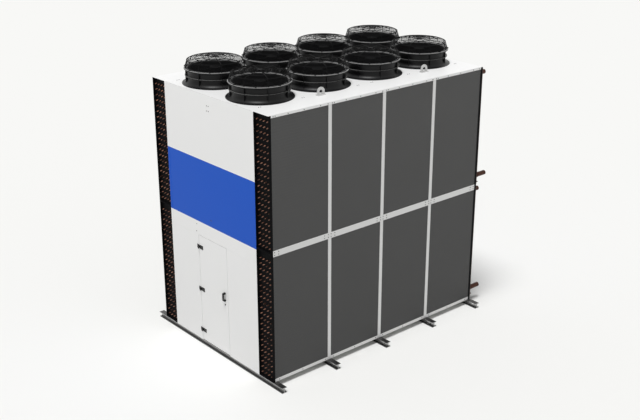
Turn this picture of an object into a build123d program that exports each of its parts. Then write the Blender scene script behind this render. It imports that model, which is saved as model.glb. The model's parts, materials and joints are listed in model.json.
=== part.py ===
"""Walk-in dry cooler: two tall fin coils on steel beams, a roof with eight fans, and a door at the front.

Frame: X across the width, -Y is the front with the door, +Z up. The origin is on the ground, under
the middle of the middle beam. All lengths are millimetres.
"""
import os
from math import cos, radians, sin

from build123d import *

# Whole body
BAY = 1200.0                # length of one fan bay along Y
BAYS = 4
BODY_W = 3240.0             # outside of one coil to outside of the other
BODY_H = 4625.0             # beam tops to roof top
COIL_DEPTH = 375.0          # coil thickness along X, trays included
SHEET = 4.0                 # folded sheet of trays, rails and posts
TRAY_DEPTH = 50.0           # end trays that shelter the return bends

# Base beams, broad-flange section
BEAM_H = 100.0
BEAM_B = 100.0
BEAM_WEB = 6.0
BEAM_FLANGE = 10.0
BEAM_OVERHANG = 245.0       # beam end beyond the coil's outside
BEAM_HOLE_R = 20.0
BEAM_HOLE_INSET = 110.0     # hole centre from the beam end
FLOOR_T = 6.0

# Heights above the beam tops
BOTTOM_RAIL_H = 55.0
MID_RAIL_LOW = 2280.0
MID_RAIL_H = 106.0
MID_RAIL_WEB = 6.0
TRAY_SEAM = 2.0
ROOF_T = 5.0
ROOF_SKIRT = 43.0           # folded edge along the coil tops, roof sheet included
ROOF_FOLD = 40.0            # stiffening fold where two bays meet
ROOF_HOLE_CLEAR = 28.0      # roof hole outside the nozzle's mouth
POST_W = 71.0

# Return bends on the front trays
BEND_TUBE = 16.0
BEND_REACH = 32.0
BEND_PITCH = 50.0
BEND_ROW = 100.0
BEND_ROWS = 22
BEND_COLUMNS = 4
BEND_COLUMN_PITCH = 86.6
BEND_TILT = 30.0            # slope of each bend, up towards the outside, degrees
BEND_FIRST_ROW = 80.0       # first row above the tray's lower edge

# Copper headers behind the rear trays
HEADER_R = 54.0
HEADER_GAP = 13.0           # header to tray plate
HEADER_SPREAD = 107.0       # header axes either side of the coil's middle
HEADER_END = 30.0           # header end from the tray's edge
STUB_R = 44.45
STUB_COLLAR_R = 50.0        # brazed collar where a stub leaves its header
STUB_COLLAR = 10.0          # collar end beyond the header
SUPPLY_END_Y = 300.0        # supply stub ends beyond the rear tray
RETURN_END_Y = 386.0        # return stub ends beyond the rear tray
STUB_LOW_INSET = 166.0      # supply stub above the header's low end
STUB_TOP_INSET = 164.0      # return stub below the header's top end
DRAIN_R = 12.0
DRAIN_LENGTH = 100.0
FEEDER_R = 8.0
FEEDER_PITCH = 400.0

# Front and rear walls, folded sheet cassettes
WALL_T = 40.0
WALL_SKIN = 3.0
TRIM_W = 45.0
TRIM_PROUD = 3.0

# Door
DOOR_W = 810.0
DOOR_TOP = 2044.0           # above the beam tops
DOOR_GAP = 6.0
DOOR_SILL_GAP = 12.0
HINGE_HEIGHTS = (210.0, 1020.0, 1830.0)
HINGE_H = 70.0
HINGE_PLATE_T = 5.0
HINGE_FIXED_W = 48.0
HINGE_MOVING_W = 105.0
KNUCKLE_R = 11.0
HINGE_PIN_R = 5.0
HINGE_PIN_GAP = 0.1
KNUCKLE_GAP = 0.4
KNUCKLE_CLEAR = 1.0         # moving knuckle in front of the fixed plate
HANDLE_EDGE = 80.0          # handle's middle from the leaf's closing edge
HANDLE_Z = 1122.0
HANDLE_H = 155.0
HANDLE_W = 40.0
HANDLE_REACH = 52.0
HANDLE_GRIP_T = 16.0
HANDLE_FOOT = 24.0          # height of each foot, and the round of the bow's corners
LOCK_DROP = 150.0           # lock under the handle's middle
LOCK_R = 12.0
LOCK_T = 8.0

# Lifting lugs on the roof
LUG_CLEAR = 14.0            # lug middle outside the line of the nozzle bases
LUG_STEP = 164.0            # lug behind the joint of two bays
LUG_W = 160.0
LUG_H = 135.0
LUG_T = 12.0
LUG_EYE_R = 34.0
LUG_FOOT_W = 80.0
LUG_FOOT_T = 10.0

# Fans, heights above the roof
FAN_OVER = 18.0             # fans stand this much further apart along Y than the bays
FAN_GAP = 34.0              # nozzle base radius less than half a bay
FAN_SPREAD = 54.0           # nozzle base to the middle of the roof
BASE_FLANGE = 66.0          # nozzle base outside its mouth
BASE_LIP = 8.0
MOUTH_FLARE = 45.0          # mouth outside the throat
INLET_CURVE = 70.0          # height of the curved mouth
WAIST_WALL = 27.0           # waist outside the throat
WAIST_H = 141.0
WAIST_FLANGE_T = 14.0
WAIST_FLANGE = 30.0         # flange outside the waist
SKIRT_BOW = (0.12, 0.40)    # the skirt's curve passes here, as shares of its width and its height
SHOULDER_WALL = 34.0        # shoulder under the rim, outside the throat
RIM_WALL = 72.0             # rim outside the throat
RIM_H = 267.0
RIM_T = 17.0
RIM_CHAMFER = 10.0
NOZZLE_RIBS = 8
NOZZLE_RIB_T = 6.0
GUARD_RING_INSET = 12.0     # foot of the guard's spokes inside the rim
GUARD_BAR = 8.0
GUARD_RING_OUT = 8.0        # flat ring on the rim, outside the spokes' feet
GUARD_RING_IN = 46.0        # the same, inside them
GUARD_RING_T = 4.0
GUARD_LEAN = 41.0           # spokes lean in by this much up to the shoulder
GUARD_RISE = 128.0          # shoulder above the rim
GUARD_TURN = 26.0           # shoulder ring to the edge of the shallow top, inwards
GUARD_TURN_RISE = 15.0      # the same, upwards
GUARD_CROWN = 47.0          # middle of the shallow top above the shoulder
GUARD_SPOKES = 8
GUARD_RING_STEPS = (120.0, 250.0)  # rings of the shallow top, in from its edge
GUARD_HUB_R = 45.0
GUARD_HUB_T = 12.0
MOTOR_R = 95.0
MOTOR_DROP = 5.0            # motor top under the rim
MOTOR_GAP = 10.0            # motor to impeller hub
MOTOR_ARMS = 4
ARM_T = 8.0                 # upright flat bars between motor and throat
ARM_H = 40.0
ARM_DROP = 10.0             # arm top under the motor's top
ARM_GAP = 0.3               # arm end to the throat
SHAFT_R = 20.0
SHAFT_GAP = 0.1
HUB_R = 130.0
HUB_H = 90.0
HUB_DROP = 105.0            # hub top under the rim
BLADES = 7
BLADE_TIP_GAP = 8.0
BLADE_T = 9.0
BLADE_CAMBER = 16.0
BLADE_RISE = 35.0           # blade middle above the hub's low end
BLADE_CHORDS = (170.0, 190.0, 215.0)  # at the root, half-way and the tip
BLADE_PITCHES = (42.0, 30.0, 23.0)
BLADE_SWEEPS = (0.0, 45.0, 150.0)
BLADE_ROOT_SINK = 20.0      # root section inside the hub
BLADE_TIP_TRIM = 30.0       # tip section beyond the trimmed tip
BORE_OVER = 1.0             # cuts run this far past what they cut

# Worked-out places
BODY_L = BAY * BAYS
FIN_FRONT = -BODY_L / 2
FIN_REAR = BODY_L / 2
FRONT_FACE = FIN_FRONT - TRAY_DEPTH
REAR_FACE = FIN_REAR + TRAY_DEPTH
DECK = BEAM_H
ROOF_TOP = DECK + BODY_H
ROOF_UNDER = ROOF_TOP - ROOF_T
COIL_OUT = BODY_W / 2
COIL_IN = COIL_OUT - COIL_DEPTH
COIL_MID = (COIL_OUT + COIL_IN) / 2
MID_LOW = DECK + MID_RAIL_LOW
MID_HIGH = MID_LOW + MID_RAIL_H
MID_WEB_LOW = (MID_LOW + MID_HIGH - MID_RAIL_WEB) / 2
MID_WEB_HIGH = MID_WEB_LOW + MID_RAIL_WEB
SEAM_LOW = (MID_LOW + MID_HIGH - TRAY_SEAM) / 2
SEAM_HIGH = SEAM_LOW + TRAY_SEAM
DOOR_HEAD = DECK + DOOR_TOP + DOOR_GAP
DOORWAY = DOOR_W / 2 + DOOR_GAP
PANEL_EDGE = COIL_IN - TRIM_W
HANDLE_X = DOOR_W / 2 - HANDLE_EDGE
HINGE_X = -(DOOR_W + DOOR_GAP) / 2
HINGE_Y = FRONT_FACE - HINGE_PLATE_T - KNUCKLE_CLEAR - KNUCKLE_R
BEAM_L = BODY_W + 2 * BEAM_OVERHANG
BASE_R = BAY / 2 - FAN_GAP
INLET_R = BASE_R - BASE_FLANGE
THROAT_R = INLET_R - MOUTH_FLARE
WAIST_R = THROAT_R + WAIST_WALL
WAIST_FLANGE_R = WAIST_R + WAIST_FLANGE
SHOULDER_R = THROAT_R + SHOULDER_WALL
RIM_R = THROAT_R + RIM_WALL
GUARD_RING_R = RIM_R - GUARD_RING_INSET
GUARD_SHOULDER_R = GUARD_RING_R - GUARD_LEAN
GUARD_SHOULDER_H = RIM_H + GUARD_RISE
GUARD_EDGE_R = GUARD_SHOULDER_R - GUARD_TURN
GUARD_EDGE_H = GUARD_SHOULDER_H + GUARD_TURN_RISE
GUARD_TOP_H = GUARD_SHOULDER_H + GUARD_CROWN
HUB_HIGH = RIM_H - HUB_DROP
HUB_LOW = HUB_HIGH - HUB_H
HUB_MID = (HUB_LOW + HUB_HIGH) / 2
BLADE_MID_H = HUB_LOW + BLADE_RISE
TIP_R = THROAT_R - BLADE_TIP_GAP
FAN_X = BASE_R + FAN_SPREAD
FAN_Y = [(BAY + FAN_OVER) * (bay - (BAYS - 1) / 2) for bay in range(BAYS)]
LUG_X = FAN_X + BASE_R + LUG_CLEAR
LUG_Y = (LUG_STEP - BAY, LUG_STEP + BAY)
SIDES = {"left": -1, "right": 1}


def block(x0, x1, y0, y1, z0, z1):
    """A plain block between two corners."""
    size = (abs(x1 - x0), abs(y1 - y0), abs(z1 - z0))
    return Pos((x0 + x1) / 2, (y0 + y1) / 2, (z0 + z1) / 2) * Box(*size)


def side_block(side, x0, x1, y0, y1, z0, z1):
    """A block given on the +X side, or its mirror image for the other side."""
    return block(side * x0, side * x1, y0, y1, z0, z1)


def save(node, solids):
    """Write the solids of one node to its own file."""
    export_step(Compound(children=list(solids)), f"parts/{node}.step")


def cassette(x0, x1, y_face, y_back, z0, z1):
    """A wall panel folded from sheet: a skin at y_face with its four edges turned back to y_back."""
    inward = 1 if y_back > y_face else -1
    skin_back = y_face + inward * WALL_SKIN
    hollow = block(x0 + WALL_SKIN, x1 - WALL_SKIN, skin_back, y_back, z0 + WALL_SKIN, z1 - WALL_SKIN)
    return block(x0, x1, y_face, y_back, z0, z1) - hollow


def base_beam(y):
    """One broad-flange beam across the width, with a lashing hole through the web near each end."""
    half_l = BEAM_L / 2
    beam = block(-half_l, half_l, y - BEAM_B / 2, y + BEAM_B / 2, 0, BEAM_H)
    for side in (-1, 1):
        y_outer = y + side * BEAM_B / 2
        y_web = y + side * BEAM_WEB / 2
        beam -= block(-half_l, half_l, y_web, y_outer, BEAM_FLANGE, BEAM_H - BEAM_FLANGE)
        hole = Cylinder(BEAM_HOLE_R, BEAM_WEB + 2 * BORE_OVER, rotation=(90, 0, 0))
        beam -= Pos(side * (half_l - BEAM_HOLE_INSET), y, BEAM_H / 2) * hole
    return beam


def tray(side, end, z0, z1):
    """Black end tray of one coil half: a plate against the fins with four edges folded outwards."""
    y_fin = FIN_FRONT if end < 0 else FIN_REAR
    y_edge = y_fin + end * TRAY_DEPTH
    y_plate = y_fin + end * SHEET
    whole = side_block(side, COIL_IN, COIL_OUT, y_fin, y_edge, z0, z1)
    hollow = side_block(side, COIL_IN + SHEET, COIL_OUT - SHEET, y_plate, y_edge, z0 + SHEET, z1 - SHEET)
    return whole - hollow


def rail(side, z0, z1, web_low, web_high):
    """Coil rail: a level web between an outer and an inner upright flange."""
    outer = side_block(side, COIL_OUT - SHEET, COIL_OUT, FIN_FRONT, FIN_REAR, z0, z1)
    inner = side_block(side, COIL_IN, COIL_IN + SHEET, FIN_FRONT, FIN_REAR, z0, z1)
    web = side_block(side, COIL_IN + SHEET, COIL_OUT - SHEET, FIN_FRONT, FIN_REAR, web_low, web_high)
    return outer + inner + web


def return_bend():
    """One hairpin bend as a bar of few sides, standing along +Z on the XY plane, legs along X."""
    reach_out = BEND_PITCH / 2 + BEND_TUBE / 2
    reach_in = BEND_PITCH / 2 - BEND_TUBE / 2
    crook = BEND_REACH - BEND_TUBE
    outline = [
        (-reach_out, 0), (-reach_out, crook), (-reach_in, BEND_REACH), (reach_in, BEND_REACH),
        (reach_out, crook), (reach_out, 0), (reach_in, 0), (reach_in, crook), (-reach_in, crook),
        (-reach_in, 0),
    ]
    return extrude(Plane.XZ * Polygon(*outline, align=None), BEND_TUBE / 2, both=True)


def front_bends(side, z0):
    """The rows and columns of sloping hairpin bends on one front tray."""
    bend = Rot(0, 0, side * BEND_TILT) * return_bend()
    first = -(BEND_COLUMNS - 1) / 2
    solids = []
    for row in range(BEND_ROWS):
        z = z0 + BEND_FIRST_ROW + row * BEND_ROW
        for column in range(BEND_COLUMNS):
            x = side * COIL_MID + (first + column) * BEND_COLUMN_PITCH
            solids.append(Location((x, FIN_FRONT - SHEET, z), (90, 0, 0)) * bend)
    return solids


def header(x, z0, z1, stub_at_top):
    """One copper header with its connection stub, feeders to the tray and, low down, a drain."""
    y = FIN_REAR + SHEET + HEADER_GAP + HEADER_R
    low = z0 + HEADER_END
    high = z1 - HEADER_END
    pipe = Pos(x, y, (low + high) / 2) * Cylinder(HEADER_R, high - low)
    stub_z = high - STUB_TOP_INSET if stub_at_top else low + STUB_LOW_INSET
    stub_l = REAR_FACE + (RETURN_END_Y if stub_at_top else SUPPLY_END_Y) - y
    for radius, length in ((STUB_R, stub_l), (STUB_COLLAR_R, HEADER_R + STUB_COLLAR)):
        pipe += Pos(x, y + length / 2, stub_z) * Cylinder(radius, length, rotation=(90, 0, 0))
    feeder_l = HEADER_GAP + HEADER_R
    count = int((high - low) // FEEDER_PITCH)
    for index in range(count):
        z = (low + high) / 2 + (index - (count - 1) / 2) * FEEDER_PITCH
        pipe += Pos(x, y - feeder_l / 2, z) * Cylinder(FEEDER_R, feeder_l, rotation=(90, 0, 0))
    if not stub_at_top:
        drain = Cylinder(DRAIN_R, DRAIN_LENGTH, rotation=(90, 0, 0))
        pipe += Pos(x, y + DRAIN_LENGTH / 2, low + DRAIN_R * 2) * drain
    return pipe


def coil_headers(side):
    """Supply and return headers of the lower and the upper coil on one side."""
    solids = []
    for z0, z1 in ((DECK, SEAM_LOW), (SEAM_HIGH, ROOF_UNDER)):
        solids.append(header(side * (COIL_MID + HEADER_SPREAD), z0, z1, False))
        solids.append(header(side * (COIL_MID - HEADER_SPREAD), z0, z1, True))
    return solids


def roof_bay(bay):
    """One bay of the roof: flat sheet, two fan holes, folded edges over the coils and between bays."""
    y0 = FIN_FRONT + bay * BAY
    y1 = y0 + BAY
    front = FRONT_FACE if bay == 0 else y0
    rear = REAR_FACE if bay == BAYS - 1 else y1
    roof = block(-COIL_OUT, COIL_OUT, front, rear, ROOF_UNDER, ROOF_TOP)
    for side in (-1, 1):
        hole = Cylinder(INLET_R + ROOF_HOLE_CLEAR, ROOF_T + 2 * BORE_OVER)
        roof -= Pos(side * FAN_X, FAN_Y[bay], ROOF_TOP - ROOF_T / 2) * hole
        roof += side_block(side, COIL_OUT - SHEET, COIL_OUT, y0, y1, ROOF_TOP - ROOF_SKIRT, ROOF_UNDER)
    if bay > 0:
        roof += block(-COIL_IN, COIL_IN, y0, y0 + SHEET, ROOF_TOP - ROOF_FOLD, ROOF_UNDER)
    if bay < BAYS - 1:
        roof += block(-COIL_IN, COIL_IN, y1 - SHEET, y1, ROOF_TOP - ROOF_FOLD, ROOF_UNDER)
    return roof


def lifting_lug(x, y):
    """Upright lifting plate with a round top and an eye, on a foot plate."""
    top_r = LUG_W / 2
    eye_h = LUG_H - top_r
    foot_top = ROOF_TOP + LUG_FOOT_T
    half_foot = LUG_FOOT_W / 2
    foot = block(x - half_foot, x + half_foot, y - top_r, y + top_r, ROOF_TOP, foot_top)
    plate = block(x - LUG_T / 2, x + LUG_T / 2, y - top_r, y + top_r, foot_top, ROOF_TOP + eye_h)
    eye = Pos(x, y, ROOF_TOP + eye_h)
    crown = eye * Cylinder(top_r, LUG_T, rotation=(0, 90, 0))
    crown -= block(x - LUG_T, x + LUG_T, y - LUG_W, y + LUG_W, ROOF_TOP - LUG_W, foot_top)
    return foot + plate + crown - eye * Cylinder(LUG_EYE_R, LUG_T + 2 * BORE_OVER, rotation=(0, 90, 0))


def nozzle_profile():
    """Half section of the fan nozzle on the XZ plane: curved mouth, throat, rim, waist flange and skirt."""
    flange_low = WAIST_H - WAIST_FLANGE_T / 2
    flange_high = WAIST_H + WAIST_FLANGE_T / 2
    mouth_r = INLET_R - THROAT_R
    bend = sin(radians(45))
    mouth_mid = (INLET_R - mouth_r * bend, INLET_CURVE * (1 - bend))
    skirt_mid = (WAIST_R + (BASE_R - WAIST_R) * SKIRT_BOW[0], flange_low * SKIRT_BOW[1])
    inner = ThreePointArc((INLET_R, 0), mouth_mid, (THROAT_R, INLET_CURVE))
    rim = Polyline(
        (THROAT_R, INLET_CURVE), (THROAT_R, RIM_H - RIM_CHAMFER), (THROAT_R + RIM_CHAMFER, RIM_H),
        (RIM_R, RIM_H), (RIM_R, RIM_H - RIM_T), (SHOULDER_R, RIM_H - 2 * RIM_T), (WAIST_R, flange_high),
        (WAIST_FLANGE_R, flange_high), (WAIST_FLANGE_R, flange_low), (WAIST_R, flange_low),
    )
    skirt = ThreePointArc((WAIST_R, flange_low), skirt_mid, (BASE_R - BASE_LIP, BASE_LIP))
    foot = Polyline((BASE_R - BASE_LIP, BASE_LIP), (BASE_R, BASE_LIP), (BASE_R, 0), (INLET_R, 0))
    return make_face(Plane.XZ * Wire([*inner.edges(), *rim.edges(), *skirt.edges(), *foot.edges()]))


def nozzle():
    """Fan nozzle on the roof, axis on Z, base at height zero, as equal segments with a rib on each."""
    turn = 360 / NOZZLE_RIBS
    wall = revolve(Rot(0, 0, -turn / 2) * nozzle_profile(), Axis.Z, revolution_arc=turn)
    web_profile = [
        (THROAT_R + BASE_LIP, BASE_LIP), (WAIST_FLANGE_R, BASE_LIP), (WAIST_FLANGE_R, RIM_H - RIM_T),
        (THROAT_R + BASE_LIP, RIM_H - RIM_T),
    ]
    web = extrude(Plane.XZ * Polygon(*web_profile, align=None), NOZZLE_RIB_T / 2, both=True)
    segment = wall + web
    return [Rot(0, 0, (index + 0.5) * turn) * segment for index in range(NOZZLE_RIBS)]


def guard():
    """Basket guard over the nozzle: rim ring, spokes bent over a low dome, rings and a hub plate."""
    half = GUARD_BAR / 2
    spoke_outline = [
        (GUARD_RING_R + half, RIM_H), (GUARD_SHOULDER_R + half, GUARD_SHOULDER_H + half),
        (GUARD_EDGE_R, GUARD_EDGE_H + half), (0, GUARD_TOP_H + half), (0, GUARD_TOP_H - half),
        (GUARD_EDGE_R - half, GUARD_EDGE_H - half), (GUARD_SHOULDER_R - half, GUARD_SHOULDER_H - half),
        (GUARD_RING_R - half, RIM_H),
    ]
    spoke = extrude(Plane.XZ * Polygon(*spoke_outline, align=None), half, both=True)
    basket = Pos(0, 0, RIM_H + GUARD_RING_T / 2) * (
        Cylinder(GUARD_RING_R + GUARD_RING_OUT, GUARD_RING_T)
        - Cylinder(GUARD_RING_R - GUARD_RING_IN, GUARD_RING_T)
    )
    basket += Pos(0, 0, GUARD_TOP_H + half - GUARD_HUB_T / 2) * Cylinder(GUARD_HUB_R, GUARD_HUB_T)
    rings = [(GUARD_SHOULDER_R, GUARD_SHOULDER_H)]
    slope = (GUARD_TOP_H - GUARD_EDGE_H) / GUARD_EDGE_R
    for step in GUARD_RING_STEPS:
        rings.append((GUARD_EDGE_R - step, GUARD_EDGE_H + slope * step))
    for radius, height in rings:
        ring = Cylinder(radius + half, GUARD_BAR) - Cylinder(radius - half, GUARD_BAR)
        basket += Pos(0, 0, height) * ring
    turn = 360 / GUARD_SPOKES
    for index in range(GUARD_SPOKES):
        basket += Rot(0, 0, (index + 0.5) * turn) * spoke
    return basket


def motor():
    """Flat fan motor under the rim: case, shaft pointing down, and upright arms out to the throat."""
    top = RIM_H - MOTOR_DROP
    low = HUB_HIGH + MOTOR_GAP
    case = Pos(0, 0, (top + low) / 2) * Cylinder(MOTOR_R, top - low)
    shaft = Pos(0, 0, (low + HUB_LOW) / 2) * Cylinder(SHAFT_R, low - HUB_LOW)
    arm_high = top - ARM_DROP
    arm = block(0, THROAT_R - ARM_GAP, -ARM_T / 2, ARM_T / 2, arm_high - ARM_H, arm_high) - case
    turn = 360 / MOTOR_ARMS
    return [case, shaft, *[Rot(0, 0, index * turn) * arm for index in range(MOTOR_ARMS)]]


def blade_section(radius, chord, pitch, shift):
    """Lens section of a blade at one radius, square to that radius."""
    chord_dir = (0, cos(radians(pitch)), sin(radians(pitch)))
    plane = Plane(origin=(radius, shift, BLADE_MID_H), x_dir=chord_dir, z_dir=(1, 0, 0))
    start = (-chord / 2, 0)
    end = (chord / 2, 0)
    back = ThreePointArc(start, (0, BLADE_CAMBER + BLADE_T / 2), end)
    belly = ThreePointArc(end, (0, BLADE_CAMBER - BLADE_T / 2), start)
    return plane * make_face(Wire([*back.edges(), *belly.edges()]))


def rotor():
    """Impeller: a bored hub with swept, twisted blades trimmed to a round tip."""
    radii = (HUB_R - BLADE_ROOT_SINK, (HUB_R + TIP_R) / 2, TIP_R + BLADE_TIP_TRIM)
    sections = [blade_section(*row) for row in zip(radii, BLADE_CHORDS, BLADE_PITCHES, BLADE_SWEEPS)]
    blade = loft(sections) & (Pos(0, 0, BLADE_MID_H) * Cylinder(TIP_R, RIM_H))
    wheel = Pos(0, 0, HUB_MID) * Cylinder(HUB_R, HUB_H)
    for index in range(BLADES):
        wheel += Rot(0, 0, index * 360 / BLADES) * blade
    return wheel - Pos(0, 0, HUB_MID) * Cylinder(SHAFT_R + SHAFT_GAP, HUB_H + BORE_OVER)


def hinge_fixed(z):
    """Hinge half on the wall: plate, two knuckles and the pin through all three knuckles."""
    low = z - HINGE_H / 2
    third = HINGE_H / 3
    plate_face = FRONT_FACE - HINGE_PLATE_T
    x_edge = HINGE_X - DOOR_GAP / 2
    half = block(x_edge - HINGE_FIXED_W, x_edge, plate_face, FRONT_FACE, low, low + HINGE_H)
    for z0 in (low, low + 2 * third):
        half += Pos(HINGE_X, HINGE_Y, z0 + third / 2) * Cylinder(KNUCKLE_R, third)
        half += block(x_edge - KNUCKLE_R, HINGE_X, HINGE_Y, plate_face, z0, z0 + third)
    return half + Pos(HINGE_X, HINGE_Y, z) * Cylinder(HINGE_PIN_R, HINGE_H)


def hinge_moving(z):
    """Hinge half on the door: plate and the middle knuckle, bored for the pin."""
    third = HINGE_H / 3
    low = z - third / 2 + KNUCKLE_GAP
    high = z + third / 2 - KNUCKLE_GAP
    plate_face = FRONT_FACE - HINGE_PLATE_T
    x_edge = -DOOR_W / 2
    x_plate = x_edge + KNUCKLE_R
    half_h = HINGE_H / 2
    half = block(x_plate, x_plate + HINGE_MOVING_W, plate_face, FRONT_FACE, z - half_h, z + half_h)
    half += Pos(HINGE_X, HINGE_Y, z) * Cylinder(KNUCKLE_R, high - low)
    half += block(HINGE_X, x_plate + KNUCKLE_R, HINGE_Y, plate_face, low, high)
    return half - Pos(HINGE_X, HINGE_Y, z) * Cylinder(HINGE_PIN_R + HINGE_PIN_GAP, HINGE_H)


def door_handle():
    """Bow handle with two feet, and the lock barrel under it."""
    z = DECK + HANDLE_Z
    grip_y = FRONT_FACE - HANDLE_REACH
    half_w = HANDLE_W / 2
    half_h = HANDLE_H / 2
    whole = block(HANDLE_X - half_w, HANDLE_X + half_w, grip_y, FRONT_FACE, z - half_h, z + half_h)
    bow = fillet(whole.edges().filter_by(Axis.X).group_by(Axis.Y)[0], HANDLE_FOOT)
    gap_z = half_h - HANDLE_FOOT
    gap_y = grip_y + HANDLE_GRIP_T
    bow -= block(HANDLE_X - HANDLE_W, HANDLE_X + HANDLE_W, gap_y, FRONT_FACE, z - gap_z, z + gap_z)
    barrel = Cylinder(LOCK_R, LOCK_T, rotation=(90, 0, 0))
    return [bow, Pos(HANDLE_X, FRONT_FACE - LOCK_T / 2, z - LOCK_DROP) * barrel]


def build_base():
    for index in range(BAYS + 1):
        save(f"base_beam_{index + 1}", [base_beam(FIN_FRONT + index * BAY)])
    floor = block(-COIL_IN, COIL_IN, FRONT_FACE + WALL_T, REAR_FACE - WALL_T, DECK, DECK + FLOOR_T)
    save("floor_pan", [floor])


def build_coils():
    levels = {
        "lower": (DECK + SHEET, MID_WEB_LOW),
        "upper": (MID_WEB_HIGH, ROOF_UNDER),
    }
    headers = []
    for name, side in SIDES.items():
        for level, (z0, z1) in levels.items():
            fins = side_block(side, COIL_IN + SHEET, COIL_OUT - SHEET, FIN_FRONT, FIN_REAR, z0, z1)
            save(f"coil_{name}_{level}", [fins])
        trays = []
        for end in (-1, 1):
            trays.append(tray(side, end, DECK, SEAM_LOW))
            trays.append(tray(side, end, SEAM_HIGH, ROOF_UNDER))
        save(f"end_trays_{name}", trays)
        save(f"return_bends_{name}", [*front_bends(side, DECK), *front_bends(side, SEAM_HIGH)])
        headers.extend(coil_headers(side))
    save("headers", headers)


def build_side_frames():
    bottom = [rail(side, DECK, DECK + BOTTOM_RAIL_H, DECK, DECK + SHEET) for side in SIDES.values()]
    middle = [rail(side, MID_LOW, MID_HIGH, MID_WEB_LOW, MID_WEB_HIGH) for side in SIDES.values()]
    posts = []
    for side in SIDES.values():
        for index in range(1, BAYS):
            y = FIN_FRONT + index * BAY
            for z0, z1 in ((DECK + BOTTOM_RAIL_H, MID_LOW), (MID_HIGH, ROOF_TOP - ROOF_SKIRT)):
                span = (y - POST_W / 2, y + POST_W / 2)
                posts.append(side_block(side, COIL_OUT - SHEET, COIL_OUT, *span, z0, z1))
    save("bottom_rails", bottom)
    save("mid_rails", middle)
    save("side_posts", posts)


def build_walls():
    front_back = FRONT_FACE + WALL_T
    rear_back = REAR_FACE - WALL_T
    save("front_panel_left", [cassette(-PANEL_EDGE, -DOORWAY, FRONT_FACE, front_back, DECK, DOOR_HEAD)])
    save("front_panel_right", [cassette(DOORWAY, PANEL_EDGE, FRONT_FACE, front_back, DECK, DOOR_HEAD)])
    over_door = cassette(-PANEL_EDGE, PANEL_EDGE, FRONT_FACE, front_back, DOOR_HEAD, ROOF_UNDER)
    save("front_panel_upper", [over_door])
    save("rear_panel_lower", [cassette(-PANEL_EDGE, PANEL_EDGE, REAR_FACE, rear_back, DECK, SEAM_LOW)])
    save("rear_panel_upper", [cassette(-PANEL_EDGE, PANEL_EDGE, REAR_FACE, rear_back, SEAM_LOW, ROOF_UNDER)])
    trims = []
    for side in SIDES.values():
        for y_face, y_back in ((FRONT_FACE - TRIM_PROUD, front_back), (REAR_FACE + TRIM_PROUD, rear_back)):
            trims.append(side_block(side, PANEL_EDGE, COIL_IN, y_face, y_back, DECK, ROOF_UNDER))
    save("wall_trims", trims)


def build_roof():
    for bay in range(BAYS):
        save(f"roof_bay_{bay + 1}", [roof_bay(bay)])
    save("lifting_lugs", [lifting_lug(side * LUG_X, y) for side in SIDES.values() for y in LUG_Y])


def build_fans():
    patterns = {"fan_nozzles": nozzle(), "fan_guards": [guard()], "fan_motors": motor()}
    wheel = rotor()
    number = 0
    for name, side in SIDES.items():
        places = [Pos(side * FAN_X, y, ROOF_TOP) for y in FAN_Y]
        for node, solids in patterns.items():
            save(f"{node}_{name}", [place * solid for place in places for solid in solids])
        for place in places:
            number += 1
            save(f"fan_rotor_{number}", [place * wheel])


def build_door():
    leaf = cassette(
        -DOOR_W / 2, DOOR_W / 2, FRONT_FACE, FRONT_FACE + WALL_T, DECK + DOOR_SILL_GAP, DECK + DOOR_TOP
    )
    save("door_leaf", [leaf])
    save("door_hinge_plates", [hinge_fixed(DECK + z) for z in HINGE_HEIGHTS])
    save("door_hinge_leaves", [hinge_moving(DECK + z) for z in HINGE_HEIGHTS])
    save("door_handle", door_handle())


def main():
    os.makedirs("parts", exist_ok=True)
    build_base()
    build_coils()
    build_side_frames()
    build_walls()
    build_roof()
    build_fans()
    build_door()


main()
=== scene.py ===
"""Looks of a walk-in dry cooler: finishes for its sheet, coils, copper and fans, with the small fittings.

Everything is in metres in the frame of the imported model: X across the width, -Y the front with the
door, +Z up, the ground at Z zero.
"""
import json
from math import atan2, cos, degrees, hypot, pi, radians, sin

import bmesh
import bpy
from bpy.props import FloatProperty, FloatVectorProperty, IntProperty, PointerProperty
from mathutils import Matrix, Vector


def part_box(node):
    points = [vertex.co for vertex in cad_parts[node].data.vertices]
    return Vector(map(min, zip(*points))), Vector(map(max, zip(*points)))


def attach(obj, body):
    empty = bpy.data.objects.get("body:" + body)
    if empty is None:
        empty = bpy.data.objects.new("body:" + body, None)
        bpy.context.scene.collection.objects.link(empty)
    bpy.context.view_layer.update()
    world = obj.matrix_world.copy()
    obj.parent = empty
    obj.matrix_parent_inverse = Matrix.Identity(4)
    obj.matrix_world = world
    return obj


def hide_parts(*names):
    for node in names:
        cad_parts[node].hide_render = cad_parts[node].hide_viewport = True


bl_info = {
    "name": "Dry Cooler Dressing",
    "version": (1, 0, 0),
    "blender": (4, 5, 0),
    "location": "View3D > Sidebar > Dry Cooler",
    "description": "Finishes and small fittings of a walk-in dry cooler with roof fans",
    "category": "Object",
}

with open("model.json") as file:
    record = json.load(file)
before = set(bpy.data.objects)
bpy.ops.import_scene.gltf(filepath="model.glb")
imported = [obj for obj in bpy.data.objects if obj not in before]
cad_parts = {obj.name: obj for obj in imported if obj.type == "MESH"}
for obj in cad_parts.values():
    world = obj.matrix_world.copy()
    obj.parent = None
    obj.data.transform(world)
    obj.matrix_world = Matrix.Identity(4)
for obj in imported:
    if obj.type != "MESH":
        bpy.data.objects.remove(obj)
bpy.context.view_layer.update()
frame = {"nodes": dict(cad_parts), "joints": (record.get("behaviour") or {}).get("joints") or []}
SIDES = {"left": -1, "right": 1}
BAYS = 4

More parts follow.
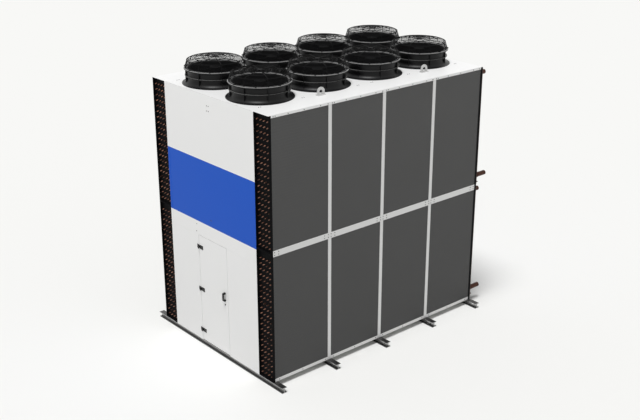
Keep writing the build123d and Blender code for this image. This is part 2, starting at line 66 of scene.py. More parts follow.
# Places read from the frame
ROOF_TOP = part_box("fan_nozzles_left")[0].z
RIM_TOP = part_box("fan_guards_left")[0].z
ROOF_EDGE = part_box("roof_bay_1")[1].x
RAIL_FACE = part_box("mid_rails")[1].x
MID_RAIL_Z = (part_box("mid_rails")[0].z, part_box("mid_rails")[1].z)
BOTTOM_RAIL_Z = (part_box("bottom_rails")[0].z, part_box("bottom_rails")[1].z)
FIN_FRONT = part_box("coil_right_lower")[0].y
FIN_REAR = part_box("coil_right_lower")[1].y
BAY = (FIN_REAR - FIN_FRONT) / BAYS
FRONT_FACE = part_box("front_panel_upper")[0].y
FRONT_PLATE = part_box("return_bends_left")[1].y
TRAY_FEET = (BOTTOM_RAIL_Z[0], sum(MID_RAIL_Z) / 2)
FANS = [Vector((*joint["pos_m"][:2], ROOF_TOP)) for joint in frame["joints"] if joint.get("continuous")]
FAN_PLACES = {name: [place for place in FANS if place.x * side > 0] for name, side in SIDES.items()}

# Where screws stand along one bay, from its front end
MID_RAIL_STEPS = (0.030, 0.113, BAY - 0.113, BAY - 0.030)
BOTTOM_RAIL_STEPS = (0.090, 0.600, BAY - 0.090)
ROOF_EDGE_STEPS = (0.045, 0.085, 0.340, 0.660, BAY - 0.200, BAY - 0.045)
ROOF_STEPS = (0.140, 0.180, 1.020, 1.060)
# Single screws on the front wall, across and up
FRONT_DOTS = (
    (-0.008, 4.546), (0.040, 4.546), (-0.008, 4.459), (0.040, 4.459),
    (-0.462, 2.207), (-0.449, 2.342), (-0.030, 2.532), (0.008, 2.532),
)
HINGES = 3
CLIPS = 8                       # on one guard

# Rounding of edges
SHEET_ROUND = 0.002             # folded panels
POST_ROUND = 0.0012             # posts over the fins
FITTING_ROUND = 0.0015          # hinges and handle
FOLD_ANGLE = radians(40)        # edges of CAD nodes are rounded from this angle on
WELD_REACH = 0.00005            # corners of CAD nodes this close become one
ROUND_SEGMENTS = 2

# Angles in degrees from which an edge looks sharp
MOULD_CREASE = 35
TUBE_CREASE = 80
SCREW_CREASE = 30

# Facets of round shapes
NOZZLE_STEPS = 96
MOUTH_STEPS = 6
SKIRT_STEPS = 9
GUARD_STEPS = 64
WIRE_SIDES = 5
TUBE_SIDES = 7
BEND_STEPS = 8
FLANGE_SIDES = 12

# Screw head, as shares of its height and of its flange's radius
FLANGE_HEIGHT = 0.3
FLANGE_TOP = 0.86
HEX_FOOT = 0.66
HEX_TOP = 0.58

# Finishes: a grain is a scale and a depth, a drift of tone a scale and an amount
COAT_GRAIN = (300.0, 0.00012)
COAT_DRIFT = (0.7, 0.03)
MOULD_GRAIN = (160.0, 0.00008)
MOULD_DRIFT = (3.0, 0.3)
STREAK_STRETCH = (1.0, 1.0, 0.05)   # draws the rain marks out upright
WALL_HEIGHT_SHADE = 0.055               # painted shade: how much darker than the middle the walls are at the ground, and lighter at the roof
FIN_HEIGHT_SHADE = 0.12                 # the same painted shade on the fins
FIN_PITCH = 0.0024              # distance of two fins
FIN_RELIEF = 0.0006             # depth of the gaps between fins in their relief
TUBE_ROW = 0.050                # height of one level of tubes behind the fins
FLAT_TOP = 0.95                 # upward share of a face's normal that counts as level
BURNT_SHADE_SHARES = (0.3, 0.8)       # of a bend's reach, between which the brazing burn and the painted shade near the tray fade
ZINC_SPREAD = 0.08              # roughness of zinc crystals, up and down
RING_REACH = 1.1                # height of the grey on the guard's flat ring, by its thickness


def length(name, description, default):
    """A property in metres."""
    return FloatProperty(name=name, description=description, default=default, unit="LENGTH", precision=4)


def colour(name, description, default):
    """A colour property."""
    return FloatVectorProperty(name=name, description=description, default=default, subtype="COLOR", size=3)


def angle(name, description, turn):
    """An angle property whose default is given in degrees."""
    return FloatProperty(name=name, description=description, default=radians(turn), subtype="ANGLE")


def level(name, description, default):
    """A plain number property."""
    return FloatProperty(name=name, description=description, default=default)


def count(name, description, default):
    """A property that counts pieces."""
    return IntProperty(name=name, description=description, default=default, min=1)


class FinishSettings(bpy.types.PropertyGroup):
    """Colours of the coats and metals."""

    white: colour("White coat", "Powder coat of walls and roof", (0.87, 0.87, 0.867))
    # Partly the strips' own greyer coat, partly painted shade for the dimmer long sides
    strip: colour("Strip coat", "Coat of the rails and posts over the fins", (0.76, 0.76, 0.755))
    blue: colour("Blue band", "Painted band across both end walls", (0.008, 0.092, 0.55))
    black: colour("Black sheet", "Coated sheet of the end trays", (0.0045, 0.0045, 0.005))
    fin: colour("Fin grey", "Coated fin edges", (0.095, 0.095, 0.095))
    gap: colour("Fin gap", "Shade between two fins", (0.056, 0.056, 0.056))
    copper: colour("Copper", "Bare copper of the return bends", (0.42, 0.21, 0.145))
    tarnish: colour("Tarnish", "Browned copper of the return bends", (0.030, 0.012, 0.008))
    header: colour("Header copper", "Copper of headers and stubs", (0.085, 0.040, 0.030))
    header_dark: colour("Header tarnish", "Browned copper of headers and stubs", (0.045, 0.021, 0.016))
    zinc: colour("Zinc", "Galvanised beams", (0.48, 0.48, 0.48))
    # Painted reflection: the beams' flat tops are darker than their sides, standing in for the dark coil
    # sides they mirror
    shaded_zinc_top: colour("Weathered zinc", "Dulled flat tops of the beams", (0.10, 0.10, 0.10))
    floor_zinc: colour("Floor zinc", "Galvanised floor sheet", (0.52, 0.53, 0.54))
    lug: colour("Lug steel", "Lifting lugs", (0.60, 0.60, 0.595))
    plastic: colour("Black plastic", "Fan nozzles and door fittings", (0.0055, 0.0055, 0.006))
    wire: colour("Guard wire", "Coated guard wire", (0.012, 0.012, 0.0125))
    # Dusted tops with painted sheen: the nozzles' level tops are lighter, as the light from above would
    # show them
    dust_and_sheen: colour("Dust", "Dust on the waist flanges of the nozzles", (0.19, 0.19, 0.187))
    rim: colour("Rim dust", "Dust on the tops of the rims", (0.36, 0.36, 0.355))
    ring: colour("Guard ring", "Flat ring under the guard", (0.42, 0.42, 0.42))
    impeller: colour("Impeller", "Impellers and motors", (0.004, 0.004, 0.0045))
    screw: colour("Screw zinc", "Zinc plated screw heads", (0.09, 0.09, 0.087))


class BandSettings(bpy.types.PropertyGroup):
    """Where the blue band lies on the end walls."""

    low: length("Band foot", "Lower edge of the band above the ground", 2.41)
    high: length("Band head", "Upper edge of the band above the ground", 3.565)
    skin: length("Painted depth", "How far in from the walls' outer faces the band is painted", 0.002)


class GuardSettings(bpy.types.PropertyGroup):
    """Fine wires of the fan guards."""

    wire_r: length("Wire radius", "Radius of one ring wire", 0.0022)
    side_rings: count("Side rings", "Rings on the leaning side", 14)
    turn_rings: count("Shoulder rings", "Rings over the shoulder", 3)
    top_rings: count("Top rings", "Rings on the shallow top", 10)
    ring_r: length("Ring radius", "Radius of the ring on the rim", 0.515)
    lean: length("Lean", "How far the side leans in up to the shoulder", 0.041)
    rise: length("Rise", "Height of the shoulder above the rim", 0.128)
    turn: length("Turn", "Shoulder to the edge of the shallow top, inwards", 0.026)
    turn_rise: length("Turn rise", "Shoulder to the edge of the shallow top, upwards", 0.015)
    crown: length("Crown", "Middle of the shallow top above the shoulder", 0.047)
    hub_r: length("Hub radius", "Where the top rings end", 0.045)
    flat_t: length("Flat ring", "Thickness of the flat ring on the rim", 0.004)
    clip_w: length("Clip width", "Width of one clip that holds the ring", 0.022)
    clip_l: length("Clip length", "Length of one clip across the rim", 0.060)
    clip_h: length("Clip height", "Height of one clip over the rim", 0.018)
    clip_edge: length("Clip edge", "Rounding of a clip's edges", 0.002)


class NozzleSettings(bpy.types.PropertyGroup):
    """Outline of the moulded fan nozzles."""

    mouth_r: length("Mouth radius", "Radius of the mouth on the roof", 0.500)
    throat_r: length("Throat radius", "Radius of the throat", 0.455)
    mouth_h: length("Mouth height", "Height of the curved mouth", 0.070)
    base_r: length("Base radius", "Radius of the foot", 0.566)
    lip: length("Lip", "Height and width of the foot's lip", 0.008)
    skirt_r: length("Skirt radius", "Radius half-way down the flared skirt", 0.4921)
    skirt_h: length("Skirt height", "Height half-way down the flared skirt", 0.0536)
    waist_r: length("Waist radius", "Radius at the waist", 0.482)
    waist_h: length("Waist height", "Height of the waist flange", 0.141)
    flange_t: length("Flange thickness", "Thickness of the waist flange", 0.014)
    flange: length("Flange", "How far the waist flange stands out", 0.030)
    shoulder_r: length("Shoulder radius", "Radius under the rim", 0.489)
    rim_r: length("Rim radius", "Outer radius of the rim", 0.527)
    rim_h: length("Rim height", "Height of the rim above the roof", 0.267)
    rim_t: length("Rim thickness", "Thickness of the rim", 0.017)
    chamfer: length("Rim chamfer", "Chamfer inside the rim", 0.010)
    edge: length("Edge round", "Rounding of the moulded edges", 0.0025)
    rib_t: length("Rib thickness", "Thickness of one rib", 0.006)
    ribs: count("Ribs", "Ribs around the outside", 8)


class BendSettings(bpy.types.PropertyGroup):
    """Hairpin bends and feeders of the coils."""

    tube_r: length("Tube radius", "Outer radius of the copper tube", 0.008)
    pitch: length("Leg pitch", "Distance of the two legs of a bend", 0.050)
    reach: length("Reach", "How far a bend stands off its tray", 0.032)
    row: length("Row pitch", "Height of one row of bends", 0.100)
    column: length("Column pitch", "Distance of two columns of bends", 0.0866)
    first: length("First row", "First row above the tray's lower edge", 0.080)
    rows: count("Rows", "Rows on one tray", 22)
    columns: count("Columns", "Columns on one tray", 4)
    tilt: angle("Tilt", "Slope of the front bends, up towards the right", 30)
    header_step: length("Header step", "Header axis from the coil's middle", 0.107)
    feeder: length("Feeder length", "Length of one feeder, its end inside the header", 0.030)


class ScrewSettings(bpy.types.PropertyGroup):
    """Flanged screws of the sheet work."""

    head_r: length("Head radius", "Radius of the flange under the head", 0.009)
    head_h: length("Head height", "Height of flange and head", 0.006)
    pair: length("Pair gap", "Distance of two screws in a pair", 0.048)
    roof_x: length("Roof row", "Rows of roof screws from the middle", 1.140)
    edge_drop: length("Edge row", "Row on the roof's edge under its top", 0.024)
    hinge_t: length("Hinge plate", "Thickness of the hinge plates", 0.005)
    hinge_h: length("Hinge height", "Height of one hinge plate", 0.070)
    hinge_inset: length("Hinge inset", "Hinge screws from the plate's end", 0.016)
    hinge_scale: level("Hinge screw", "Size of the hinge screws, by that of the others", 0.6)


class StageSettings(bpy.types.PropertyGroup):
    """Camera, floor and light."""

    eye: FloatVectorProperty(
        name="Camera place", description="Where the camera stands", default=(13.587, -11.731, 9.096),
        subtype="TRANSLATION", unit="LENGTH", size=3,
    )
    yaw: angle("Camera yaw", "Turn of the camera about the upright", 49.236)
    drop: angle("Camera drop", "How far the camera looks down", 21.276)
    lens: FloatProperty(
        name="Lens", description="Focal length in millimetres", default=58.407, subtype="DISTANCE_CAMERA",
    )
    floor_size: length("Floor size", "Side of the square floor", 400.0)
    floor: colour("Floor", "Pale floor", (0.835, 0.835, 0.82))
    sky: colour("Sky", "Pale surroundings as the camera sees them", (0.939, 0.939, 0.922))
    sky_light: level("Sky light", "Level of the light from all round", 0.3)
    sun_light: level("Sun light", "Level of the soft light from above", 2.70)
    sun_size: angle("Sun size", "Width of the soft light", 22)
    sun_way: FloatVectorProperty(
        name="Sun way", description="Direction in which the soft light shines", default=(-0.12, 0.27, -1.0),
        subtype="DIRECTION", size=3,
    )


def settings():
    """The settings of this scene's dressing."""
    return bpy.context.scene.dry_cooler


def rgba(values):
    """A colour with full alpha."""
    return (*values, 1.0)


def socket(group, way, kind, name, value=None):
    """One named socket on a node group."""
    made = group.interface.new_socket(name=name, in_out=way, socket_type=f"NodeSocket{kind}")
    if value is not None:
        made.default_value = value


def node_group(name, inputs, outputs):
    """An empty shader group with its sockets, and its input and output nodes."""
    group = bpy.data.node_groups.new(name, "ShaderNodeTree")
    for label, kind, value in inputs:
        socket(group, "INPUT", kind, label, value)
    for label, kind in outputs:
        socket(group, "OUTPUT", kind, label)
    return group, group.nodes.new("NodeGroupInput"), group.nodes.new("NodeGroupOutput")


def add_node(tree, kind, links=None, **values):
    """One node with its plain settings, its socket values and the links that feed it."""
    node = tree.nodes.new(kind)
    for key, value in values.items():
        setattr(node, key, value)
    for name, source in (links or {}).items():
        target = node.inputs[name]
        if isinstance(source, bpy.types.NodeSocket):
            tree.links.new(source, target)
        else:
            target.default_value = source
    return node


def blend(tree, factor, first, second):
    """Mix of two colours by a factor, each a socket or a plain value."""
    mix = add_node(tree, "ShaderNodeMix", {"Factor": factor, 6: first, 7: second}, data_type="RGBA")
    return mix.outputs[2]


def calc(tree, operation, first, second=0.0):
    """Result of one sum or comparison."""
    return add_node(tree, "ShaderNodeMath", {0: first, 1: second}, operation=operation).outputs[0]


def scaled(tree, tone, gain):
    """A colour times a gain."""
    return add_node(tree, "ShaderNodeVectorMath", {0: tone, 1: gain}, operation="MULTIPLY").outputs[0]


def ramp(tree, value, start, end, low=0.0, high=1.0):
    """A value carried over from one range to another and held at both ends."""
    return add_node(tree, "ShaderNodeMapRange", {
        "Value": value, "From Min": start, "From Max": end, "To Min": low, "To Max": high,
    }).outputs[0]


def object_place(tree, scale=(1.0, 1.0, 1.0)):
    """Object coordinates, stretched."""
    place = add_node(tree, "ShaderNodeTexCoord").outputs["Object"]
    return add_node(tree, "ShaderNodeMapping", {"Vector": place, "Scale": scale}).outputs["Vector"]


def along(tree, axis):
    """Place of the shaded point along one axis. Along Z this is its height above the ground."""
    place = add_node(tree, "ShaderNodeTexCoord").outputs["Object"]
    return add_node(tree, "ShaderNodeSeparateXYZ", {0: place}).outputs[axis]


def from_middle(tree):
    """Distance of the shaded point from the unit's middle, along its length."""
    return calc(tree, "ABSOLUTE", along(tree, "Y"))


def flat_tops(tree):
    """Mask of the faces that look straight up."""
    normal = add_node(tree, "ShaderNodeNewGeometry").outputs["Normal"]
    upward = add_node(tree, "ShaderNodeSeparateXYZ", {0: normal}).outputs["Z"]
    return calc(tree, "GREATER_THAN", upward, FLAT_TOP)


def build_tone_drift():
    """Slow change of tone over a surface."""
    group, inside, out = node_group(
        "tone_drift",
        [("Colour", "Color", None), ("Scale", "Float", 1.0), ("Amount", "Float", 0.05)],
        [("Colour", "Color")],
    )
    noise = add_node(group, "ShaderNodeTexNoise", {
        "Vector": object_place(group), "Scale": inside.outputs["Scale"], "Detail": 4.0, "Roughness": 0.55,
    })
    centred = calc(group, "SUBTRACT", noise.outputs["Fac"], 0.5)
    swing = calc(group, "MULTIPLY", centred, inside.outputs["Amount"])
    gain = calc(group, "ADD", swing, 1.0)
    group.links.new(scaled(group, inside.outputs["Colour"], gain), out.inputs["Colour"])
    return group


def build_coat_grain():
    """Fine relief of a coat, a casting or a moulding."""
    group, inside, out = node_group(
        "coat_grain",
        [("Scale", "Float", 300.0), ("Depth", "Float", 0.0002)],
        [("Normal", "Vector")],
    )
    noise = add_node(group, "ShaderNodeTexNoise", {
        "Vector": object_place(group), "Scale": inside.outputs["Scale"], "Detail": 2.0,
    })
    bump = add_node(group, "ShaderNodeBump", {
        "Height": noise.outputs["Fac"], "Distance": inside.outputs["Depth"], "Strength": 1.0,
    })
    group.links.new(bump.outputs["Normal"], out.inputs["Normal"])
    return group


def build_rain_marks():
    """Mask of faint upright streaks that rain leaves on outdoor sheet."""
    group, inside, out = node_group(
        "rain_marks",
        [("Scale", "Float", 9.0), ("Amount", "Float", 0.1)],
        [("Mask", "Float")],
    )
    noise = add_node(group, "ShaderNodeTexNoise", {
        "Vector": object_place(group, STREAK_STRETCH), "Scale": inside.outputs["Scale"], "Detail": 5.0,
    })
    streaks = ramp(group, noise.outputs["Fac"], 0.52, 0.78)
    group.links.new(calc(group, "MULTIPLY", streaks, inside.outputs["Amount"]), out.inputs["Mask"])
    return group


SHARED_GROUPS = {
    "tone_drift": build_tone_drift,
    "coat_grain": build_coat_grain,
    "rain_marks": build_rain_marks,
}


def group_node(tree, name, **values):
    """A placed copy of one of the shared groups, which is built at its first use."""
    group = bpy.data.node_groups.get(name) or SHARED_GROUPS[name]()
    return add_node(tree, "ShaderNodeGroup", values, node_tree=group).outputs[0]


def drifting(tree, tone, drift):
    """A colour whose tone drifts over the surface, drift being a scale and an amount."""
    return group_node(tree, "tone_drift", Colour=tone, Scale=drift[0], Amount=drift[1])


def grained(tree, grain):
    """Normal of a fine relief, grain being a scale and a depth."""
    return group_node(tree, "coat_grain", Scale=grain[0], Depth=grain[1])


def new_finish(name, **sockets):
    """A material with a Principled shader and its plain values. Underscores stand for spaces."""
    material = bpy.data.materials.new(name)
    material.use_nodes = True
    shader = material.node_tree.nodes["Principled BSDF"]
    for label, value in sockets.items():
        shader.inputs[label.replace("_", " ")].default_value = value
    return material, material.node_tree, shader


def feed(tree, shader, **sources):
    """Link sources to a shader's sockets. Underscores stand for spaces."""
    for label, source in sources.items():
        tree.links.new(source, shader.inputs[label.replace("_", " ")])


def coat(name, base, drift, grain=COAT_GRAIN, streaks=None, **sockets):
    """A coat or bare metal: drifting tone, fine relief and, as an amount and a tone, faint rain streaks."""
    material, tree, shader = new_finish(name, **sockets)
    tone = drifting(tree, rgba(base), drift)
    if streaks:
        amount, streak_tone = streaks
        mask = group_node(tree, "rain_marks", Amount=amount)
        tone = blend(tree, mask, tone, scaled(tree, tone, (streak_tone,) * 3))
    feed(tree, shader, Base_Color=tone, Normal=grained(tree, grain))
    return material


def streaked_coat(name, base):
    """Powder coat of the roof and of the strips over the fins, with faint rain streaks."""
    return coat(name, base, COAT_DRIFT, streaks=(0.05, 0.82), Roughness=0.42, Specular_IOR_Level=0.4)


def height_shade(tree, tone, amount):
    """Painted shade: tone that darkens evenly towards the ground and lightens towards the roof, as light
    falls off down the sides.
    """
    return scaled(tree, tone, ramp(tree, along(tree, "Z"), 0.0, ROOF_TOP, 1.0 - amount, 1.0 + amount))


def banded_coat():
    """The end walls' white coat with the blue band across it, by height and on the outer skins only, with
    painted shade darker towards the ground.
    """
    found = bpy.data.materials.get("banded_coat")
    if found:
        return found
    finish = settings().finish
    band = settings().band
    material, tree, shader = new_finish("banded_coat", Roughness=0.42, Specular_IOR_Level=0.12)
    height = along(tree, "Z")
    above = calc(tree, "GREATER_THAN", height, band.low)
    below = calc(tree, "LESS_THAN", height, band.high)
    outside = calc(tree, "GREATER_THAN", from_middle(tree), abs(FRONT_FACE) - band.skin)
    painted = calc(tree, "MULTIPLY", calc(tree, "MULTIPLY", above, below), outside)
    paint = blend(tree, painted, rgba(finish.white), rgba(finish.blue))
    # Painted shade: darker towards the ground, lighter towards the roof
    tone = height_shade(tree, drifting(tree, paint, COAT_DRIFT), WALL_HEIGHT_SHADE)
    feed(tree, shader, Base_Color=tone, Normal=grained(tree, COAT_GRAIN))
    return material


def tray_black():
    """Dull black coat of the end trays."""
    base = settings().finish.black
    return coat("tray_black", base, (2.0, 0.3), Roughness=0.6, Specular_IOR_Level=0.04)


def stripes(tree, pitch, way):
    """Even soft stripes across one axis. The wave texture repeats every 2 pi / 20 at a scale of one."""
    place = add_node(tree, "ShaderNodeTexCoord").outputs["Object"]
    return add_node(tree, "ShaderNodeTexWave", {
        "Vector": place, "Scale": 2 * pi / (20 * pitch), "Distortion": 0.0,
    }, bands_direction=way).outputs["Fac"]


def coil_fins():
    """Closely spaced upright fins, with a faint row for each level of tubes behind them and painted shade
    darker towards the ground.
    """
    finish = settings().finish
    material, tree, shader = new_finish("fin_pack", Roughness=0.6, Specular_IOR_Level=0.25)
    fins = stripes(tree, FIN_PITCH, "Y")
    rows = ramp(tree, stripes(tree, TUBE_ROW, "Z"), 0.0, 1.0, 0.97, 1.03)
    edges = blend(tree, fins, rgba(finish.gap), rgba(finish.fin))
    # Painted shade: darker towards the ground, lighter towards the roof
    tone = height_shade(tree, drifting(tree, scaled(tree, edges, rows), (1.5, 0.10)), FIN_HEIGHT_SHADE)
    bump = add_node(tree, "ShaderNodeBump", {"Height": fins, "Distance": FIN_RELIEF, "Strength": 0.6})
    feed(tree, shader, Base_Color=tone, Normal=bump.outputs["Normal"])
    return material


def burnt_and_shaded_feet(tree):
    """One at the tray plates, where brazing burnt the tubes and painted shade stands for the nearby tray,
    and zero at the crowns of the bends.
    """
    stand_off = calc(tree, "SUBTRACT", from_middle(tree), abs(FRONT_PLATE))
    start, end = [share * settings().bend.reach for share in BURNT_SHADE_SHARES]
    return ramp(tree, stand_off, start, end, 1.0, 0.0)


def copper_tube(name, bright, dark, brazed_and_shaded=False):
    """Copper, bright in places and browned in others, with feet darkened by brazing burn and by painted
    shade near the tray.
    """
    material, tree, shader = new_finish(name, Metallic=1.0)
    noise = add_node(tree, "ShaderNodeTexNoise", {
        "Vector": object_place(tree), "Scale": 22.0, "Detail": 5.0,
    })
    brown = ramp(tree, noise.outputs["Fac"], 0.36, 0.62)
    if brazed_and_shaded:
        # Brazing burn and painted shade at the feet, next to the tray
        brown = calc(tree, "MAXIMUM", brown, burnt_and_shaded_feet(tree))
    tone = blend(tree, brown, rgba(bright), rgba(dark))
    feed(tree, shader, Base_Color=tone, Roughness=ramp(tree, brown, 0.0, 1.0, 0.24, 0.5))
    return material


def zinc_spangle(name, side, top, roughness):
    """Hot-dip galvanised steel with its crystals, in one tone for its sides and one for its flat tops,
    where a darker top tone is painted reflection.
    """
    material, tree, shader = new_finish(name, Metallic=0.9)
    cells = add_node(tree, "ShaderNodeTexVoronoi", {"Vector": object_place(tree), "Scale": 70.0})
    facet = add_node(tree, "ShaderNodeSeparateColor", {0: cells.outputs["Color"]}).outputs[0]
    base = blend(tree, flat_tops(tree), rgba(side), rgba(top))
    spangled = scaled(tree, base, ramp(tree, facet, 0.0, 1.0, 0.86, 1.14))
    gloss = ramp(tree, facet, 0.0, 1.0, roughness - ZINC_SPREAD, roughness + ZINC_SPREAD)
    feed(tree, shader, Base_Color=drifting(tree, spangled, (2.0, 0.25)), Roughness=gloss)
    return material


def gloss_black():
    """Smooth black of the door fittings."""
    base = settings().finish.plastic
    return coat("gloss_black", base, MOULD_DRIFT, MOULD_GRAIN, Roughness=0.26, Specular_IOR_Level=0.28)


def nozzle_black():
    """Black moulding, grey and dusted on the flat tops of its rim and its waist flange, with painted sheen
    there as the light from above would give.
    """
    finish = settings().finish
    nozzle = settings().nozzle
    material, tree, shader = new_finish("nozzle_black", Roughness=0.38, Specular_IOR_Level=0.20)
    height = along(tree, "Z")
    above_skirt = calc(tree, "GREATER_THAN", height, ROOF_TOP + nozzle.skirt_h)
    on_rim = calc(tree, "GREATER_THAN", height, RIM_TOP - nozzle.rim_t)
    dust_and_sheen = blend(tree, on_rim, rgba(finish.dust_and_sheen), rgba(finish.rim))
    # Painted sheen with the dusting: level tops above the skirt are greyer, as the light from above would
    # show them
    dusty_sheen_tops = calc(tree, "MULTIPLY", flat_tops(tree), above_skirt)
    paint = blend(tree, dusty_sheen_tops, rgba(finish.plastic), dust_and_sheen)
    feed(tree, shader, Base_Color=drifting(tree, paint, MOULD_DRIFT), Normal=grained(tree, MOULD_GRAIN))
    return material


def dull_black():
    """Dull black of impellers and motors."""
    base = settings().finish.impeller
    return coat("dull_black", base, (4.0, 0.3), (220.0, 0.0002), Roughness=0.7, Specular_IOR_Level=0.03)


def guard_wire():
    """Black coated wire. The flat ring on the rim, told by its height, is grey."""
    finish = settings().finish
    material, tree, shader = new_finish("black_wire", Roughness=0.55, Specular_IOR_Level=0.03)
    on_ring = calc(tree, "LESS_THAN", along(tree, "Z"), RIM_TOP + RING_REACH * settings().guard.flat_t)
    paint = blend(tree, on_ring, rgba(finish.wire), rgba(finish.ring))
    feed(tree, shader, Base_Color=drifting(tree, paint, (5.0, 0.2)), Normal=grained(tree, (500.0, 0.0001)))
    return material


def screw_zinc():
    """Zinc plate of the screws."""
    base = settings().finish.screw
    return coat("screw_zinc", base, (30.0, 0.5), (900.0, 0.00005), Metallic=0.8, Roughness=0.4)


def dress(material, *nodes):
    """Give frame nodes their finish."""
    for node in nodes:
        data = frame["nodes"][node].data
        data.materials.clear()
        data.materials.append(material)


def soften(width, *nodes):
    """Round the folded edges of sheet nodes a little."""
    for node in nodes:
        obj = frame["nodes"][node]
        weld = obj.modifiers.new("weld", "WELD")
        weld.merge_threshold = WELD_REACH
        bevel = obj.modifiers.new("edge", "BEVEL")
        bevel.width = width
        bevel.segments = ROUND_SEGMENTS
        bevel.limit_method = "ANGLE"
        bevel.angle_limit = FOLD_ANGLE
        bevel.harden_normals = True


def finish_piece(name, bm, material, body="housing", crease=MOULD_CREASE):
    """Turn a finished bmesh into a piece at the origin that rides on a body."""
    bmesh.ops.recalc_face_normals(bm, faces=bm.faces)
    mesh = bpy.data.meshes.new(name)
    bm.to_mesh(mesh)
    bm.free()
    mesh.shade_smooth()
    mesh.set_sharp_from_angle(angle=radians(crease))
    mesh.materials.append(material)
    piece = bpy.data.objects.new(name, mesh)
    bpy.context.scene.collection.objects.link(piece)
    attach(piece, body)
    return piece


def as_pattern(bm):
    """A small mesh that is stamped many times."""
    pattern = bpy.data.meshes.new("pattern")
    bm.to_mesh(pattern)
    bm.free()
    return pattern


def stamp(bm, pattern, places):
    """Add a copy of a pattern at each place, given as a matrix."""
    for place in places:
        copy = pattern.copy()
        copy.transform(place)
        bm.from_mesh(copy)
        bpy.data.meshes.remove(copy)


def facing(point, normal):
    """Matrix that stands a pattern's Z axis along a normal at a point."""
    turn = Vector((0, 0, 1)).rotation_difference(Vector(normal)).to_matrix().to_4x4()
    return Matrix.Translation(Vector(point)) @ turn


def sweep_ring(bm, section, steps):
    """Turn a loop of (radius, height) points once about Z into a closed ring."""
    verts = [bm.verts.new((radius, 0, height)) for radius, height in section]
    edges = [bm.edges.new((verts[i - 1], verts[i])) for i in range(len(verts))]
    bmesh.ops.spin(
        bm, geom=verts + edges, cent=(0, 0, 0), axis=(0, 0, 1), angle=2 * pi, steps=steps, use_merge=True
    )


def wire_section(radius, height, wire_r):
    """Round section of a ring wire."""
    turn = 2 * pi / WIRE_SIDES
    return [(radius + wire_r * cos(i * turn), height + wire_r * sin(i * turn)) for i in range(WIRE_SIDES)]


def round_edges(bm, edges, width):
    """Bevel edges to a small round."""
    bmesh.ops.bevel(
        bm, geom=edges, offset=width, offset_type="OFFSET", segments=ROUND_SEGMENTS, profile=0.5,
        affect="EDGES", material=-1,
    )


def arc(centre, radii, start, end, steps):
    """Points of an upright elliptic arc, angles in degrees."""
    points = []
    for i in range(steps + 1):
        t = radians(start + (end - start) * i / steps)
        points.append((centre[0] + radii[0] * cos(t), centre[1] + radii[1] * sin(t)))
    return points


def arc_through(first, middle, last, steps):
    """Points of the circular arc through three points."""
    a, b, c = Vector(first), Vector(middle), Vector(last)
    double = 2 * (a.x * (b.y - c.y) + b.x * (c.y - a.y) + c.x * (a.y - b.y))
    x = (a.dot(a) * (b.y - c.y) + b.dot(b) * (c.y - a.y) + c.dot(c) * (a.y - b.y)) / double
    y = (a.dot(a) * (c.x - b.x) + b.dot(b) * (a.x - c.x) + c.dot(c) * (b.x - a.x)) / double
    start = atan2(a.y - y, a.x - x)
    turn = (atan2(c.y - y, c.x - x) - start) % (2 * pi)
    radius = hypot(a.x - x, a.y - y)
    return arc((x, y), (radius, radius), degrees(start), degrees(start + turn), steps)


class COOLER_OT_walls(bpy.types.Operator):
    """Finish the end walls with their white coat and blue band"""

    bl_idname = "cooler.walls"
    bl_label = "Dress End Walls"

    def execute(self, context):
        sheets = [
            "front_panel_left", "front_panel_right", "front_panel_upper", "rear_panel_lower",
            "rear_panel_upper", "wall_trims",
        ]
        dress(banded_coat(), *sheets)
        soften(SHEET_ROUND, *sheets)
        return {"FINISHED"}


class COOLER_OT_frames(bpy.types.Operator):
    """Finish the rails and posts over the fin faces"""

    bl_idname = "cooler.frames"
    bl_label = "Dress Side Frames"

    def execute(self, context):
        # A greyer copy of the white coat: partly the strips' own tone, partly painted shade of the long
        # sides
        shaded_strip_coat = streaked_coat("shaded_strip_coat", settings().finish.strip)
        dress(shaded_strip_coat, "bottom_rails", "mid_rails", "side_posts")
        soften(POST_ROUND, "side_posts")
        return {"FINISHED"}


class COOLER_OT_roof(bpy.types.Operator):
    """Finish the roof bays and the lifting lugs"""

    bl_idname = "cooler.roof"
    bl_label = "Dress Roof"

    def execute(self, context):
        finish = settings().finish
        dress(streaked_coat("white_coat", finish.white), *[f"roof_bay_{bay + 1}" for bay in range(BAYS)])
        lug = coat("lug_plate", finish.lug, (12.0, 0.25), (260.0, 0.0002), Metallic=0.3, Roughness=0.45)
        dress(lug, "lifting_lugs")
        return {"FINISHED"}


class COOLER_OT_base(bpy.types.Operator):
    """Finish the base beams and the floor pan"""

    bl_idname = "cooler.base"
    bl_label = "Dress Base"

    def execute(self, context):
        finish = settings().finish
        # The darker flat tops of the beams are painted reflection
        beam_zinc = zinc_spangle("beam_zinc", finish.zinc, finish.shaded_zinc_top, 0.35)
        dress(beam_zinc, *[f"base_beam_{i + 1}" for i in range(BAYS + 1)])
        dress(zinc_spangle("floor_zinc", finish.floor_zinc, finish.floor_zinc, 0.4), "floor_pan")
        return {"FINISHED"}


class COOLER_OT_coils(bpy.types.Operator):
    """Finish the fin packs, their black trays and the copper headers"""

    bl_idname = "cooler.coils"
    bl_label = "Dress Coils"

    def execute(self, context):
        dress(coil_fins(), *[f"coil_{side}_{tier}" for side in SIDES for tier in ("lower", "upper")])
        dress(tray_black(), "end_trays_left", "end_trays_right")
        finish = settings().finish
        dress(copper_tube("header_copper", finish.header, finish.header_dark), "headers")
        return {"FINISHED"}


